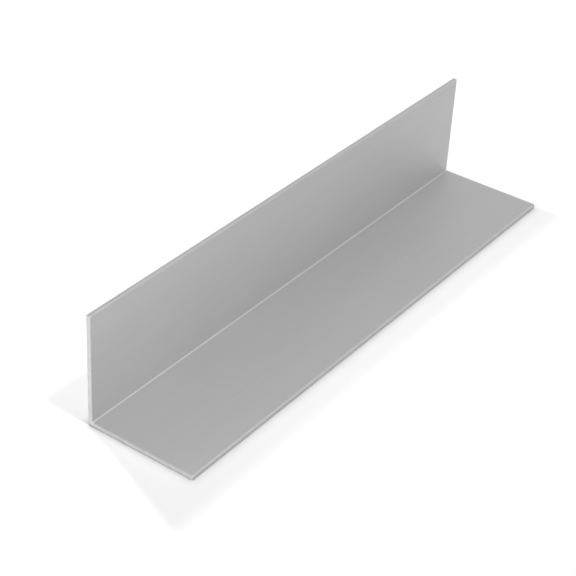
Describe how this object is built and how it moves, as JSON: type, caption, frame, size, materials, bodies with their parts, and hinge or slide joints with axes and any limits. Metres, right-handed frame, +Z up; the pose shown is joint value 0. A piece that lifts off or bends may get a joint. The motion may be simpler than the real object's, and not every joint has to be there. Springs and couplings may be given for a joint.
{
  "type": "metal angle section",
  "caption": "Straight length of equal-leg aluminium angle with thin legs, a small root fillet and square-cut ends, lying on one leg.",
  "frame": {"origin": "on the floor, under the middle of the box that the section fills", "axes": "+X along the length, +Y across the lying leg towards the back of the standing leg, +Z up the standing leg"},
  "size_m": [0.25, 0.05, 0.05],
  "materials": {
    "satin_aluminium": "satin"
  },
  "bodies": {
    "root": {"angle_section": "satin_aluminium"}
  },
  "joints": []
}
